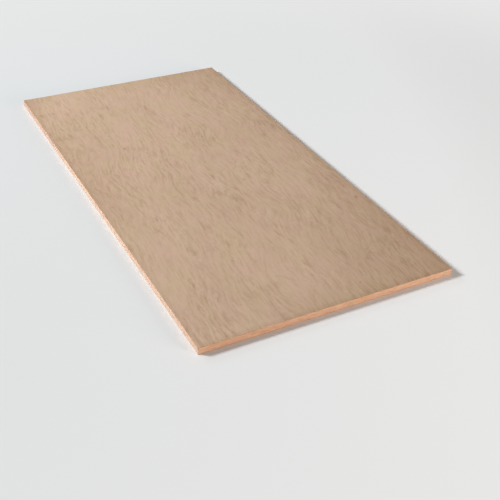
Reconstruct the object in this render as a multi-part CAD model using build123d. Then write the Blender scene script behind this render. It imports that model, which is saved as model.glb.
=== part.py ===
from build123d import *
import os

# A veneered fibreboard sheet, lying flat. Sizes are in millimetres.
# X runs across the sheet, Y runs along it, with the grain of its veneers, and Z is up.
# The origin is the middle of the underside.

# The sheet as it is sawn
LENGTH = 1220.0
WIDTH = 607.0

# The layers that are pressed together, one on the other
CORE_THICKNESS = 15.0
VENEER_THICKNESS = 0.6  # the same on both sides, so that the sheet stays flat

# What sanding and handling take off
ARRIS_RADIUS = 0.25  # the edges all round both faces
CORNER_RADIUS = 0.8  # the four upright corners


def layer(underside, thickness):
    """One layer of the sheet. The saw cuts all the layers at once, so they share one outline."""
    outline = RectangleRounded(WIDTH, LENGTH, CORNER_RADIUS)
    return Pos(0, 0, underside) * extrude(outline, amount=thickness)


def back_veneer():
    """The balancing veneer that the sheet lies on, with its lower edges eased."""
    sheet = layer(0, VENEER_THICKNESS)
    underside = sheet.faces().sort_by(Axis.Z)[0]
    return fillet(underside.edges(), ARRIS_RADIUS)


def mdf_core():
    """The pressed fibreboard between the veneers, which shows on all four sawn edges."""
    return layer(VENEER_THICKNESS, CORE_THICKNESS)


def face_veneer():
    """The show veneer on top, with its upper edges eased."""
    sheet = layer(VENEER_THICKNESS + CORE_THICKNESS, VENEER_THICKNESS)
    face = sheet.faces().sort_by(Axis.Z)[-1]
    return fillet(face.edges(), ARRIS_RADIUS)


pieces = {
    "back_veneer": back_veneer(),
    "mdf_core": mdf_core(),
    "face_veneer": face_veneer(),
}

os.makedirs("parts", exist_ok=True)
for name, piece in pieces.items():
    export_step(piece, f"parts/{name}.step")
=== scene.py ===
import itertools
from collections import namedtuple
from math import cos, pi, radians, sin

import bpy
import numpy as np
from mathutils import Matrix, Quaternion, Vector


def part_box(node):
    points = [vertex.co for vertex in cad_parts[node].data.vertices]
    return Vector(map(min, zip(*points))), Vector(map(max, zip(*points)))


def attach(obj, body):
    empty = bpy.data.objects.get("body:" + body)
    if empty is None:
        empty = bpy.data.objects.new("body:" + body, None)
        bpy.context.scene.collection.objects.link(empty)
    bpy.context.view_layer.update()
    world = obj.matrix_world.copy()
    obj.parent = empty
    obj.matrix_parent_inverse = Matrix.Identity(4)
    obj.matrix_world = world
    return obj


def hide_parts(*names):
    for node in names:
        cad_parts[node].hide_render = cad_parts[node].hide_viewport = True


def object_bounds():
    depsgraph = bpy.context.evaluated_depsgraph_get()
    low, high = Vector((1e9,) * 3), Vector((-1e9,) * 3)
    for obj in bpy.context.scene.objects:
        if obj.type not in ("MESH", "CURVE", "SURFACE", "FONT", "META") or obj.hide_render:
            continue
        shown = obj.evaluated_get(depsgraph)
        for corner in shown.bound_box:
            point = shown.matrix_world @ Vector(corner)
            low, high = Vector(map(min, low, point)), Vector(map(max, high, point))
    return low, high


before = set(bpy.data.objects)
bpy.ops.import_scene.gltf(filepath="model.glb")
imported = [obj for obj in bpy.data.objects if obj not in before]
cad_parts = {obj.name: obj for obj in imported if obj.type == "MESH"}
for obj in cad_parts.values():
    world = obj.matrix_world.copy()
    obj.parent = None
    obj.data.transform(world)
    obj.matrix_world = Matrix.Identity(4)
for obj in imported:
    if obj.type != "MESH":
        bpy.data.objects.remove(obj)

# A wood-veneered fibreboard sheet lying on its back. Lengths are in metres unless a name says mm.
# Angles are in degrees. X runs across the sheet, Y along it and its grain, Z up.

MM = 0.001
QUADRANTS = ((1, 1), (-1, 1), (-1, -1), (1, -1))  # the signs of X and Y, anticlockwise from above

cad_low, cad_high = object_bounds()
core_low, core_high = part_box("mdf_core")
HALF_WIDTH = cad_high.x
HALF_LENGTH = cad_high.y
TOP = cad_high.z
GLUE_LINE_LOW = core_low.z
GLUE_LINE_HIGH = core_high.z

# What sanding and handling take off, as in the CAD solids
CORNER_RADIUS = 0.8 * MM
ARRIS_RADIUS = 0.25 * MM

# How finely the sawn edges are modelled
CORNER_STEPS = 6
ARRIS_STEPS = 4
VENEER_STEP = 2.0 * MM
CORE_STEP = 0.8 * MM
CORE_ROWS = 12
SUPPORT_WIDTH = 1.0 * MM  # the flat rim that keeps the shading of each face level
SHARP_ANGLE = 40  # edges that turn by more than this stay sharp

# The saw's and sander's marks on the core's edges, cut inwards from the CAD faces
SAW_PITCH = 2.6 * MM
SAW_SLANT = 0.35  # how far a mark leans along the edge for each metre of height
SAW_DEPTH = 0.03 * MM
SAW_SWELLS = 400  # how often the marks' depth changes along the edges
FUZZ_DEPTH = 0.03 * MM
SEED = 7

# The camera, from the four corners and the edges of the board in the photograph
CAMERA_AIM = Vector((-0.0617, -0.3585, 0.0162))
CAMERA_DISTANCE = 1.9263
CAMERA_AZIMUTH = -28.469
CAMERA_ELEVATION = 34.402
CAMERA_ROLL = 1.768
CAMERA_LENS_MM = 62.495

NOISE_MIDDLE = 0.5  # the level that noise gathers round
SMOOTH, FINE, FINEST = 1.0, 2.0, 3.0  # how much finer noise is laid over the first
MIX_INPUTS = (0, 6, 7)  # a mix node's sockets for its amount and its two colours
MIX_OUTPUT = 2


class Nodes:
    """A node tree, with short calls that each add one node and give back its output."""

    def __init__(self, tree):
        self.tree = tree

    def feed(self, socket, value):
        """Links an output to the socket, or sets the socket's own value."""
        if isinstance(value, bpy.types.NodeSocket):
            self.tree.links.new(value, socket)
        else:
            socket.default_value = value

    def add(self, kind, **settings):
        node = self.tree.nodes.new(kind)
        for name, value in settings.items():
            setattr(node, name, value)
        return node

    def place(self):
        """Where a point lies in the frame, in metres: each piece's object sits at the origin."""
        return self.add("ShaderNodeTexCoord").outputs["Object"]

    def facing(self):
        """The surface's own direction in the frame."""
        return self.add("ShaderNodeTexCoord").outputs["Normal"]

    def split(self, vector):
        node = self.add("ShaderNodeSeparateXYZ")
        self.feed(node.inputs[0], vector)
        return node.outputs

    def join(self, x, y, z):
        node = self.add("ShaderNodeCombineXYZ")
        for socket, value in zip(node.inputs, (x, y, z)):
            self.feed(socket, value)
        return node.outputs[0]

    def math(self, operation, first, second=0.0, third=0.0):
        node = self.add("ShaderNodeMath", operation=operation)
        for socket, value in zip(node.inputs, (first, second, third)):
            self.feed(socket, value)
        return node.outputs[0]

    def vector_math(self, operation, *values):
        node = self.add("ShaderNodeVectorMath", operation=operation)
        for socket, value in zip(node.inputs, values):
            self.feed(socket, value)
        return node.outputs

    def noise(self, vector, detail=FINE):
        """Noise whose value and three colours gather round the middle level."""
        node = self.add("ShaderNodeTexNoise")
        self.feed(node.inputs["Vector"], vector)
        node.inputs["Scale"].default_value = 1.0
        node.inputs["Detail"].default_value = detail
        return node.outputs

    def stretch(self, vector, x, y, z):
        """Counts the vector in lengths of x, y and z metres."""
        return self.vector_math("DIVIDE", vector, (x, y, z))[0]

    def between(self, value, low, high, to_low=0.0, to_high=1.0):
        """Eases from to_low to to_high as value goes from low to high."""
        node = self.add("ShaderNodeMapRange", interpolation_type="SMOOTHSTEP")
        for socket, number in zip(node.inputs, (value, low, high, to_low, to_high)):
            self.feed(socket, number)
        return node.outputs[0]

    def mix(self, amount, first, second):
        """Goes from the first colour to the second as the amount goes from nought to one."""
        node = self.add("ShaderNodeMix", data_type="RGBA")
        for number, value in zip(MIX_INPUTS, (amount, first, second)):
            self.feed(node.inputs[number], value)
        return node.outputs[MIX_OUTPUT]

    def bump(self, height, distance):
        node = self.add("ShaderNodeBump")
        node.inputs["Distance"].default_value = distance
        self.feed(node.inputs["Height"], height)
        return node.outputs[0]

    def seen(self):
        """One for the rays that show the background as it is, nought for those that light the object."""
        path = self.add("ShaderNodeLightPath").outputs
        direct = self.math("MAXIMUM", path["Is Camera Ray"], path["Is Glossy Ray"])
        return self.math("MAXIMUM", direct, path["Is Transmission Ray"])


class Surface(Nodes):
    """A material and its tree."""

    def __init__(self, name):
        self.material = bpy.data.materials.new(name)
        self.material.use_nodes = True
        super().__init__(self.material.node_tree)
        self.shader = self.tree.nodes["Principled BSDF"]


# How a screen turns the levels written to it into light: in proportion up to a dark level, then along
# a curve
SCREEN_WHITE = 255
SCREEN_DARK, DARK_DIVISOR = 0.04045, 12.92
CURVE_OFFSET, CURVE_POWER = 0.055, 2.4


def rgb(red, green, blue):
    """A colour written as it shows on screen, from 0 to 255, as linear light."""

    def linear(level):
        level = level / SCREEN_WHITE
        if level <= SCREEN_DARK:
            return level / DARK_DIVISOR
        return ((level + CURVE_OFFSET) / (1 + CURVE_OFFSET)) ** CURVE_POWER

    return (linear(red), linear(green), linear(blue), 1.0)


# What a veneer's figure is made of. Widths across the grain, lengths along it and reaches are in mm.
# Bends move the grain across by up to their reach. Layers add noise to the figure by their weight.
# Stretches tell places apart by noise that goes from a low level to a high one. Flecks are dark
# marks where noise goes from the level where they start to the one where they are full
Bend = namedtuple("Bend", "width length reach")
Layer = namedtuple("Layer", "width length weight")
Stretch = namedtuple("Stretch", "width length low high")
Flecks = namedtuple("Flecks", "width length start full weight")

GRAIN_SLANT = 0.08  # how much of its length the grain drifts towards +X
DRIFT = Bend(260, 330, 60)
CURL = Bend(90, 150, 26)
RIPPLE = Bend(18, 34, 5)

# Its calm and its busy stretches, and how strong the figure and its ripples are in each
BUSY = Stretch(90, 240, 0.38, 0.62)
BUSY_LEAST, BUSY_MOST = 0.65, 1.3

CLOUD = Layer(110, 300, 0.20)
BAND = Layer(12, 120, 0.21)
MOTTLE = Layer(6, 9, 0.17)
FIBRE = Layer(1.8, 14, 0.13)

STREAK = Flecks(5.4, 44, 0.38, 0.76, 0.19)
FLECK = Flecks(5.4, 28, 0.57, 0.80, 0.15)
SPOT = Flecks(9, 18, 0.74, 0.83, 0.18)
PORE = Flecks(0.5, 5, 0.62, 0.75, 0.18)

# Thin dark lines where the noise passes its middle, and how near it their edges are
WISP = Layer(34, 160, 0.12)
WISP_NEAR = 0.02

# Where the flecks, spots, pores and wisps gather, and how much of them is left elsewhere
PATCH = Stretch(40, 110, 0.45, 0.62)
PATCH_LEAST = 0.15

BLUSH = Stretch(60, 110, 0.35, 0.65)  # where the pale wood turns from pinker to yellower

# Each veneer's noise comes from slices of its own, this far apart, from its first slice on
SLICE_STEP = 10
FACE_SLICE, BACK_SLICE = 0.0, 300.0

# The face's clearest marks: the middle's x and y, width and length in mm, then turn and weight
FACE_MARKS = [
    (90, -60, 10, 32, 0, 0.26),
    (70, -70, 10, 16, 0, 0.22),
    (30, -105, 10, 30, 5, 0.24),
    (5, -30, 12, 24, -10, 0.20),
    (10, 15, 10, 36, -5, 0.18),
    (40, -370, 9, 46, 5, 0.20),
    (28, -325, 9, 44, 16, 0.24),
    (-80, -105, 14, 26, 12, 0.24),
    (-65, -70, 8, 44, -12, 0.18),
    (-115, -230, 9, 44, -5, 0.22),
    (-180, -310, 13, 54, 0, 0.20),
    (-200, -155, 8, 32, -14, 0.22),
    (-145, 205, 12, 18, -8, 0.30),
    (0, 410, 10, 54, 0, 0.20),
    (-100, 455, 12, 30, -8, 0.24),
    (-135, 415, 7, 50, 0, 0.24),
    (-160, 420, 8, 40, -14, 0.22),
    (235, 125, 14, 30, -10, 0.20),
    (-95, -315, 15, 30, 8, 0.18),
    (280, -265, 10, 14, 0, 0.28),
    (95, -565, 5, 7, 0, 0.34),
    (-170, -525, 5, 6, 0, 0.34),
    (-285, 482, 14, 40, 8, 0.26),
    (-255, 488, 26, 14, -10, 0.20),
    (-262, 412, 12, 26, 0, 0.18),
]
MARK_WANDER = 8 * MM  # how far apart a mark's outline turns
MARK_RAGGED = 0.9  # and how far it wanders, in the mark's own half widths
MARK_REACH = 1.3  # where a mark has faded out, in the same

# Where the face is darker over a wide stretch, written as the marks are
FACE_ZONES = [
    (320, -620, 600, 960, 0, 0.22),
    (60, -640, 360, 260, 0, 0.08),
    (330, 40, 260, 1300, 0, 0.09),
    (-340, 140, 360, 700, 0, 0.17),
    (270, 600, 420, 560, 0, 0.13),
    (-340, 640, 260, 420, 0, 0.26),
    (40, 660, 700, 260, 0, 0.07),
    (-50, -640, 200, 220, 0, 0.12),
]
ZONE_REACH = 1.25

# Where the face's figure is livelier or, below nought, calmer, written as the marks are
BUSY_ZONES = [
    (-30, 60, 260, 560, 0, 0.20),
    (270, 200, 200, 640, 0, 0.35),
    (-280, 220, 180, 520, 0, 0.25),
    (-150, -120, 200, 420, 0, 0.20),
    (-160, -560, 260, 300, 0, 0.15),
    (140, -560, 240, 240, 0, -0.25),
]

# How wide and how much darker a veneer's border is, along its sides and its near end
BORDER_WIDTH = 18 * MM
BORDER_DARKER = 0.10

# Where the fibreboard edge is darker, written as the marks are
EDGE_ZONES = [
    (-303, 640, 300, 860, 0, 1.00),
    (-200, -620, 420, 80, 0, 0.10),
]

VENEER_SHEEN = (0.3, 0.7, 0.66, 0.80)  # two levels of its fibres' noise, then the roughness at each
VENEER_GLOSS = 0.22
VENEER_RELIEF = 0.03 * MM
CUT_TURN = (0.2, 0.8)  # a veneer's sawn edge fades out as its surface points up by more than this
CUT_DARKER = 0.4

# The fibreboard edge's middle tone and its layers: length in the level, height in mm, weight, detail
EdgeLayer = namedtuple("EdgeLayer", "length height weight detail")
EDGE_TONE = 0.55
PRESSED = EdgeLayer(45, 0.9, 0.35, FINE)
STAIN = EdgeLayer(60, 20, 0.30, FINE)
CLUMP = EdgeLayer(14, 2.2, 1.40, FINE)
TORN = EdgeLayer(1.6, 0.35, 0.45, FINEST)

# Where it turns from oranger to greyer: length and height in mm, then the levels of the noise
EDGE_BLUSH_LENGTH, EDGE_BLUSH_HEIGHT = 24, 6
EDGE_BLUSH = (0.38, 0.62)
CORE_SHEEN = (0.3, 0.7, 0.62, 0.80)
CORE_GLOSS = 0.4
CORE_FUZZ = 0.4
CORE_RELIEF = 0.06 * MM

FACE_PALE = (rgb(221.5, 188.5, 165), rgb(217.5, 190.5, 161))
FACE_DARK = rgb(150, 116, 84)
BACK_PALE = (rgb(214, 182, 156), rgb(211, 184, 152))
BACK_DARK = rgb(145, 106, 77)
CORE_PALE = (rgb(231, 184, 145), rgb(225, 189, 158))
CORE_DARK = rgb(192, 143, 109)


def add_marks(s, figure, spot, marks, reach, wander=(0, 0, 0)):
    """Adds to the figure the listed marks, each an oval that fades outwards."""
    for mark_x, mark_y, width, length, turn, weight in marks:
        local = s.add("ShaderNodeMapping", vector_type="TEXTURE")
        local.inputs["Location"].default_value = (mark_x * MM, mark_y * MM, 0)
        local.inputs["Rotation"].default_value = (0, 0, radians(turn))
        local.inputs["Scale"].default_value = (width / 2 * MM, length / 2 * MM, 1)
        s.feed(local.inputs["Vector"], spot)
        moved = s.vector_math("ADD", wander, local.outputs[0])[0]
        far = s.vector_math("LENGTH", moved)["Value"]
        figure = s.math("ADD", figure, s.between(far, 0.0, reach, weight, 0.0))
    return figure


def veneer(name, pale, dark, first_slice, marks=(), zones=(), busy_zones=()):
    """A bare, sanded, rotary-cut veneer: short dark flecks and wisps along a gently drifting grain."""
    s = Surface(name)
    x, y, _ = s.split(s.place())
    flat = s.join(x, y, 0.0)
    slices = itertools.count(first_slice, SLICE_STEP)

    def layer(across, size, detail=FINE):
        """Noise from a slice of its own, stretched to the size's width and length."""
        spot = s.join(across, y, next(slices))
        return s.noise(s.stretch(spot, size.width * MM, size.length * MM, 1.0), detail)[0]

    busy = s.between(layer(x, BUSY), BUSY.low, BUSY.high, BUSY_LEAST, BUSY_MOST)
    busy = add_marks(s, busy, flat, busy_zones, ZONE_REACH)
    across = s.math("MULTIPLY_ADD", y, -GRAIN_SLANT, x)
    for bend in (DRIFT, CURL):
        across = s.math("MULTIPLY_ADD", layer(x, bend, SMOOTH), bend.reach * MM, across)
    ripple = s.math("MULTIPLY", layer(x, RIPPLE, SMOOTH), busy)
    across = s.math("MULTIPLY_ADD", ripple, RIPPLE.reach * MM, across)

    figure = s.math("MULTIPLY", layer(across, CLOUD), CLOUD.weight)
    for size in (BAND, MOTTLE, FIBRE):
        fibre = layer(across, size)
        lively = s.math("MULTIPLY", s.math("SUBTRACT", fibre, NOISE_MIDDLE), busy)
        figure = s.math("MULTIPLY_ADD", s.math("ADD", lively, NOISE_MIDDLE), size.weight, figure)
    streaks = s.between(layer(across, STREAK), STREAK.start, STREAK.full, 0.0, STREAK.weight)
    figure = s.math("MULTIPLY_ADD", streaks, busy, figure)
    patch = s.between(layer(across, PATCH), PATCH.low, PATCH.high, PATCH_LEAST, 1.0)
    for size in (FLECK, SPOT, PORE):
        amount = s.between(layer(across, size), size.start, size.full, 0.0, size.weight)
        figure = s.math("MULTIPLY_ADD", amount, patch, figure)
    ridge = s.math("ABSOLUTE", s.math("SUBTRACT", layer(across, WISP), NOISE_MIDDLE))
    amount = s.between(ridge, 0.0, WISP_NEAR, WISP.weight, 0.0)
    figure = s.math("MULTIPLY_ADD", amount, patch, figure)

    turns = s.noise(s.stretch(s.place(), MARK_WANDER, MARK_WANDER, MARK_WANDER))["Color"]
    centred = s.vector_math("SUBTRACT", turns, (NOISE_MIDDLE, NOISE_MIDDLE, NOISE_MIDDLE))[0]
    wander = s.vector_math("MULTIPLY", centred, (2 * MARK_RAGGED, 2 * MARK_RAGGED, 0))[0]
    figure = add_marks(s, figure, flat, marks, MARK_REACH, wander)
    figure = add_marks(s, figure, flat, zones, ZONE_REACH)
    past_side = s.math("SUBTRACT", s.math("ABSOLUTE", x), HALF_WIDTH)
    past_end = s.math("SUBTRACT", s.math("MULTIPLY", y, -1.0), HALF_LENGTH)
    border = s.math("MAXIMUM", past_side, past_end)
    figure = s.math("ADD", figure, s.between(border, -BORDER_WIDTH, 0.0, 0.0, BORDER_DARKER))

    pinker, yellower = pale
    colour = s.mix(s.between(layer(x, BLUSH), BLUSH.low, BLUSH.high), pinker, yellower)
    colour = s.mix(figure, colour, dark)
    up = s.math("ABSOLUTE", s.split(s.facing())[2])
    cut = s.between(up, *CUT_TURN, CUT_DARKER, 0.0)
    s.feed(s.shader.inputs["Base Color"], s.mix(cut, colour, dark))
    s.feed(s.shader.inputs["Roughness"], s.between(fibre, *VENEER_SHEEN))
    s.shader.inputs["Specular IOR Level"].default_value = VENEER_GLOSS
    s.feed(s.shader.inputs["Normal"], s.bump(fibre, VENEER_RELIEF))
    return s.material


def fibreboard(name, pale, dark, zones=()):
    """A sawn and sanded fibreboard edge: plain, with soft clumps and stains and short torn fibres."""
    s = Surface(name)

    def layer(length, height, detail=FINE):
        return s.noise(s.stretch(s.place(), length * MM, length * MM, height * MM), detail)[0]

    figure = EDGE_TONE
    for size in (PRESSED, STAIN, CLUMP, TORN):
        fibres = layer(size.length, size.height, size.detail)
        centred = s.math("SUBTRACT", fibres, NOISE_MIDDLE)
        figure = s.math("MULTIPLY_ADD", centred, size.weight, figure)
    figure = add_marks(s, figure, s.place(), zones, ZONE_REACH)
    tone = layer(EDGE_BLUSH_LENGTH, EDGE_BLUSH_HEIGHT)
    oranger, greyer = pale
    colour = s.mix(s.between(tone, *EDGE_BLUSH), oranger, greyer)
    s.feed(s.shader.inputs["Base Color"], s.mix(figure, colour, dark))
    # The last layer, the torn fibres, also makes the sheen and the relief
    s.feed(s.shader.inputs["Roughness"], s.between(fibres, *CORE_SHEEN))
    s.shader.inputs["Specular IOR Level"].default_value = CORE_GLOSS
    s.shader.inputs["Sheen Weight"].default_value = CORE_FUZZ
    s.feed(s.shader.inputs["Normal"], s.bump(fibres, CORE_RELIEF))
    return s.material


# Each piece's square map, in parts of its side: what shows gets nearly all of it
MAP_NAME = "OFBake"
MAP_SIDE = 1024
BARE_HEIGHT = 990  # of a veneer's map. Its glued side gets what is above
VENEER_BANDS = (2, 3, 6, 7, 8, 9, 10, 12)  # how far in each of a veneer's rings lies, glued side first
GLUED_BOX = (8, 1000, 1016, 1020)
CORE_STRIPS = 15  # the core's edge is laid out in this many strips, one above the other
STRIP_HEIGHT = 64
STRIP_INSET = 3
RIM_HEIGHT = 2  # of the core's glued rims, below and above each strip
CORE_CAP_BOXES = ((8, 966, 504, 1020), (520, 966, 1016, 1020))


def outline(inset, step):
    """Points round the sheet, anticlockwise from above, pulled in from its sawn edges by inset."""
    x, y = HALF_WIDTH - CORNER_RADIUS, HALF_LENGTH - CORNER_RADIUS
    centres = [(x * a, y * b) for a, b in QUADRANTS]
    points = []
    for corner, (cx, cy) in enumerate(centres):
        start = corner * pi / 2
        radius = CORNER_RADIUS - inset
        arc = [start + pi / 2 * k / CORNER_STEPS for k in range(CORNER_STEPS + 1)]
        points += [(cx + radius * cos(a), cy + radius * sin(a)) for a in arc]
        ax, ay = points[-1]
        nx, ny = centres[(corner + 1) % len(centres)]
        bx = nx + radius * cos(start + pi / 2)
        by = ny + radius * sin(start + pi / 2)
        span = max(abs(bx - ax), abs(by - ay))
        count = max(1, round(span / step))
        points += [(ax + (bx - ax) * k / count, ay + (by - ay) * k / count) for k in range(1, count)]
    return np.array(points)


def outward(points):
    """The direction out of the sheet at each outline point."""
    inner = np.array([HALF_WIDTH - CORNER_RADIUS, HALF_LENGTH - CORNER_RADIUS])
    out = points - np.clip(points, -inner, inner)
    return out / np.linalg.norm(out, axis=1, keepdims=True)


def ring(inset, height, step):
    points = outline(inset, step)
    return np.column_stack([points, np.full(len(points), height)])


def flat_rim(height, inset, step):
    """A ring of the outline pulled straight in, past where a rounded corner can follow it."""
    points = outline(0, step)
    scale = 1 - inset / np.array([HALF_WIDTH, HALF_LENGTH])
    return np.column_stack([points * scale, np.full(len(points), height)])


def solid(name, rings, material, low_cap, starts, ends, high_cap):
    """A closed piece through the rings of points, lowest first, with a flat cap at each end.

    The last four say where its faces lie on its own square map: the caps' points, and for each side
    face the places of its ring points at its start and at its end.
    """
    count = len(rings[0])
    points = np.concatenate(rings)
    faces = [tuple(reversed(range(count)))]
    for row in range(len(rings) - 1):
        low, high = row * count, (row + 1) * count
        faces += [
            (low + i, low + (i + 1) % count, high + (i + 1) % count, high + i)
            for i in range(count)
        ]
    faces.append(tuple(range((len(rings) - 1) * count, len(rings) * count)))
    sides = np.stack([starts[:-1], ends[:-1], ends[1:], starts[1:]], axis=2)
    corners = np.concatenate([low_cap[::-1], sides.reshape(-1, 2), high_cap])
    mesh = bpy.data.meshes.new(name)
    mesh.from_pydata(points.tolist(), [], faces)
    mesh.uv_layers.new(name=MAP_NAME).uv.foreach_set("vector", (corners / MAP_SIDE).ravel())
    mesh.materials.append(material)
    mesh.polygons.foreach_set("use_smooth", [True] * len(mesh.polygons))
    mesh.set_sharp_from_angle(angle=radians(SHARP_ANGLE))
    mesh.validate()
    piece = bpy.data.objects.new(name, mesh)
    bpy.context.scene.collection.objects.link(piece)
    return piece


def spread(points, box):
    """The points over a box of the map, from its left, bottom, right and top."""
    left, bottom, right, top = box
    middle = np.array([left + right, bottom + top]) / 2
    half = np.array([right - left, top - bottom]) / 2
    return middle + half * points[:, :2] / np.abs(points[:, :2]).max(axis=0)


def veneer_sheet(name, glued, bare, material):
    """A veneer from its glued side to its bare side, whose edges are eased all round."""
    side = 1 if bare > glued else -1
    rings = [flat_rim(glued, SUPPORT_WIDTH, VENEER_STEP), ring(0, glued, VENEER_STEP)]
    for k in range(ARRIS_STEPS + 1):
        turn = pi / 2 * k / ARRIS_STEPS
        inset = ARRIS_RADIUS * (1 - cos(turn))
        height = bare - side * ARRIS_RADIUS * (1 - sin(turn))
        rings.append(ring(inset, height, VENEER_STEP))
    rings.append(flat_rim(bare, SUPPORT_WIDTH, VENEER_STEP))
    places = [
        spread(points, (band, band, MAP_SIDE - band, BARE_HEIGHT - band))
        for points, band in zip(rings, VENEER_BANDS)
    ]
    caps = [spread(rings[0], GLUED_BOX), places[-1]]
    if side < 0:
        rings.reverse()
        places.reverse()
        caps.reverse()
    starts = np.array(places)
    return solid(name, rings, material, caps[0], starts, np.roll(starts, -1, axis=1), caps[1])


def strips(along, steps, rows):
    """Where the core's side faces lie on its map: in strips, each a stretch of the edge."""
    count = len(along)
    strip = np.arange(count) * CORE_STRIPS // count
    first = np.searchsorted(strip, strip)
    start = along - along[first]
    end = start + steps
    scale = (MAP_SIDE - 2 * STRIP_INSET) / end.max()
    inner = STRIP_HEIGHT - 2 * (STRIP_INSET + RIM_HEIGHT / 2)
    levels = RIM_HEIGHT / 2 + STRIP_INSET + np.linspace(0, inner, rows - 2)
    levels = np.concatenate([[levels[0] - RIM_HEIGHT], levels, [levels[-1] + RIM_HEIGHT]])
    heights = strip * STRIP_HEIGHT + levels[:, None]
    return [
        np.stack([np.tile(STRIP_INSET + scale * side, (rows, 1)), heights], axis=2)
        for side in (start, end)
    ]


def core_sheet(name, material):
    """The fibreboard core, its edges marked by the saw and roughened by torn fibres."""
    rng = np.random.default_rng(SEED)
    points = outline(0, CORE_STEP)
    out = outward(points)
    steps = np.linalg.norm(np.roll(points, -1, axis=0) - points, axis=1)
    along = np.concatenate([[0], np.cumsum(steps)[:-1]])
    swell = np.interp(along, np.linspace(0, along[-1], SAW_SWELLS), rng.random(SAW_SWELLS))
    rings = [flat_rim(GLUE_LINE_LOW, SUPPORT_WIDTH, CORE_STEP)]
    for height in np.linspace(GLUE_LINE_LOW, GLUE_LINE_HIGH, CORE_ROWS + 1):
        phase = 2 * pi * (along + SAW_SLANT * height) / SAW_PITCH
        saw = SAW_DEPTH * swell * (1 + np.sin(phase)) / 2
        fuzz = FUZZ_DEPTH * rng.random(len(points))
        at_glue = height in (GLUE_LINE_LOW, GLUE_LINE_HIGH)
        depth = 0 * saw if at_glue else saw + fuzz
        moved = points - out * depth[:, None]
        rings.append(np.column_stack([moved, np.full(len(points), height)]))
    rings.append(flat_rim(GLUE_LINE_HIGH, SUPPORT_WIDTH, CORE_STEP))
    starts, ends = strips(along, steps, len(rings))
    caps = [spread(points, box) for points, box in zip((rings[0], rings[-1]), CORE_CAP_BOXES)]
    return solid(name, rings, material, caps[0], starts, ends, caps[1])


def make_board():
    face = veneer(
        "bare_face_veneer", FACE_PALE, FACE_DARK, FACE_SLICE,
        FACE_MARKS, FACE_ZONES, BUSY_ZONES,
    )
    back = veneer("bare_back_veneer", BACK_PALE, BACK_DARK, BACK_SLICE)
    edge = fibreboard("bare_fibreboard", CORE_PALE, CORE_DARK, EDGE_ZONES)
    pieces = {
        "face_veneer": veneer_sheet("face_veneer_sheet", GLUE_LINE_HIGH, TOP, face),
        "back_veneer": veneer_sheet("back_veneer_sheet", GLUE_LINE_LOW, 0.0, back),
        "mdf_core": core_sheet("mdf_core_sheet", edge),
    }
    for node, piece in pieces.items():
        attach(piece, "root")
        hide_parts(node)


# The studio
FLOOR_COLOUR = (0.795, 0.782, 0.762)
BACKGROUND = (0.80, 0.80, 0.795, 1.0)
WORLD_LIGHT = 0.30
KEY_PLACE = Vector((-3.75, 1.95, 2.75))
KEY_SHARE = 0.60  # how much of the floor's light is the key's
KEY_FALL = 3.0  # the power of the distance by which the key's light on the floor falls off
FLOOR_MOST = 1.18  # the most that the floor's colour is raised where the key is weak
FLOOR_REACH = 30.0
FADE_START, FADE_END = 0.75, 1.9  # where the lit floor turns into the plain background
FLOOR_DROP = 0.02 * MM  # how far the floor lies below the sheet's back
WINDOW_INSET = 2 * MM  # an opening in the floor under the sheet, so that its back shows from below

# Round lamps that face the origin, with their power in watts. The one under the floor lights only the
# sheet's back, through the opening
Lamp = namedtuple("Lamp", "place size power colour")
COOL = (0.95, 1.01, 1.06)
WARM = (1.11, 0.965, 0.885)
WHITE = (1.0, 1.0, 1.0)
LAMPS = {
    "key": Lamp(KEY_PLACE, 1.2, 279, COOL),
    "rim": Lamp(Vector((-1.5, 3.6, 2.0)), 1.0, 33, COOL),
    "fill": Lamp(Vector((2.0, -3.8, 0.6)), 1.6, 100, WARM),
    "under": Lamp(Vector((0.6, -1.5, -3.5)), 2.0, 105, WHITE),
}


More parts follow.
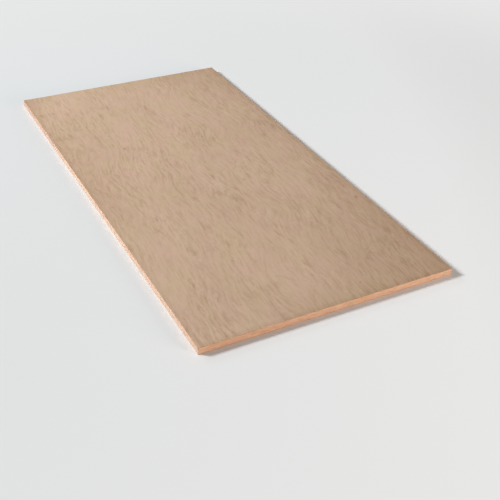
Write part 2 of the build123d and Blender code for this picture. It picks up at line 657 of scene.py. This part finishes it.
def make_floor():
    """A plain pale floor. From below it lets the view through, to the back of the sheet."""
    s = Surface("pale_floor")
    from_key = s.vector_math("DISTANCE", s.place(), KEY_PLACE)["Value"]
    nearness = s.math("POWER", s.math("DIVIDE", KEY_PLACE.length, from_key), KEY_FALL)
    lit = s.math("MULTIPLY_ADD", nearness, KEY_SHARE, 1 - KEY_SHARE)
    level = s.math("MINIMUM", s.math("DIVIDE", 1.0, lit), FLOOR_MOST)
    colour = s.add("ShaderNodeVectorMath", operation="SCALE")
    colour.inputs[0].default_value = FLOOR_COLOUR
    s.feed(colour.inputs["Scale"], level)
    s.feed(s.shader.inputs["Base Color"], colour.outputs[0])
    s.shader.inputs["Roughness"].default_value = 1.0
    s.shader.inputs["Specular IOR Level"].default_value = 0.0
    glow = s.add("ShaderNodeEmission")
    glow.inputs["Color"].default_value = BACKGROUND
    clear = s.add("ShaderNodeBsdfTransparent")

    far = s.vector_math("LENGTH", s.place())["Value"]
    above = s.add("ShaderNodeMixShader")
    s.feed(above.inputs[0], s.math("MULTIPLY", s.between(far, FADE_START, FADE_END), s.seen()))
    s.feed(above.inputs[1], s.shader.outputs[0])
    s.feed(above.inputs[2], glow.outputs[0])
    choose = s.add("ShaderNodeMixShader")
    s.feed(choose.inputs[0], s.add("ShaderNodeNewGeometry").outputs["Backfacing"])
    s.feed(choose.inputs[1], above.outputs[0])
    s.feed(choose.inputs[2], clear.outputs[0])
    s.feed(s.tree.nodes["Material Output"].inputs["Surface"], choose.outputs[0])

    window = (HALF_WIDTH - WINDOW_INSET, HALF_LENGTH - WINDOW_INSET)
    points = [
        (x * a, y * b, -FLOOR_DROP)
        for x, y in (window, (FLOOR_REACH, FLOOR_REACH))
        for a, b in QUADRANTS
    ]
    count = len(QUADRANTS)
    faces = [(k, count + k, count + (k + 1) % count, (k + 1) % count) for k in range(count)]
    mesh = bpy.data.meshes.new("floor")
    mesh.from_pydata(points, [], faces)
    mesh.materials.append(s.material)
    floor = bpy.data.objects.new("floor", mesh)
    bpy.context.scene.collection.objects.link(floor)


def make_lights():
    """The lamps, and a weak even sky that shows at full strength as the plain background."""
    world = bpy.data.worlds.new("studio")
    bpy.context.scene.world = world
    world.use_nodes = True
    sky = Nodes(world.node_tree)
    background = world.node_tree.nodes["Background"]
    background.inputs["Color"].default_value = BACKGROUND
    sky.feed(background.inputs["Strength"], sky.math("MAXIMUM", sky.seen(), WORLD_LIGHT))
    for name, lamp in LAMPS.items():
        light = bpy.data.lights.new(name, "AREA")
        light.shape = "DISK"
        light.size = lamp.size
        light.energy = lamp.power
        light.color = lamp.colour
        holder = bpy.data.objects.new(name, light)
        holder.location = lamp.place
        holder.rotation_mode = "QUATERNION"
        holder.rotation_quaternion = (-lamp.place).to_track_quat("-Z", "Y")
        bpy.context.scene.collection.objects.link(holder)


def make_camera():
    azimuth, elevation = radians(CAMERA_AZIMUTH), radians(CAMERA_ELEVATION)
    back = Vector((
        sin(azimuth) * cos(elevation),
        -cos(azimuth) * cos(elevation),
        sin(elevation),
    ))
    lens = bpy.data.cameras.new("camera")
    lens.lens = CAMERA_LENS_MM
    camera = bpy.data.objects.new("camera", lens)
    camera.location = CAMERA_AIM + back * CAMERA_DISTANCE
    camera.rotation_mode = "QUATERNION"
    roll = Quaternion((0, 0, 1), radians(CAMERA_ROLL))
    camera.rotation_quaternion = (-back).to_track_quat("-Z", "Y") @ roll
    bpy.context.scene.collection.objects.link(camera)
    bpy.context.scene.camera = camera


make_camera()
make_board()
make_floor()
make_lights()
bpy.context.scene.view_settings.view_transform = "Standard"
